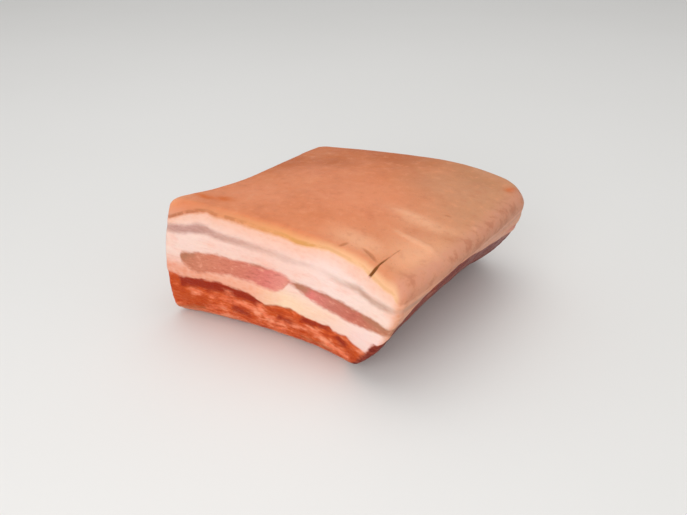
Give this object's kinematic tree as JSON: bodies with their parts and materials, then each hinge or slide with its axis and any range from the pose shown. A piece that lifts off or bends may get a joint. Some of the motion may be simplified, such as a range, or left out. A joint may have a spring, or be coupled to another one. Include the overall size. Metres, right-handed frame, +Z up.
{
  "type": "pork belly slab",
  "caption": "Thick boneless slab of raw pork belly lying rind side up, with streaked layers of fat and lean on its cut sides; resting food piece.",
  "frame": {"origin": "centre of the bounding box at the height of the flat underside", "axes": "+Z up through the rind, -Y out of the cut face that shows the streaks best, +X to that face's right"},
  "size_m": [0.137, 0.1488, 0.063],
  "materials": {
    "rind": "satin, slightly moist raw skin over fat and lean"
  },
  "bodies": {
    "root": {"pork_belly": "rind"}
  },
  "joints": []
}
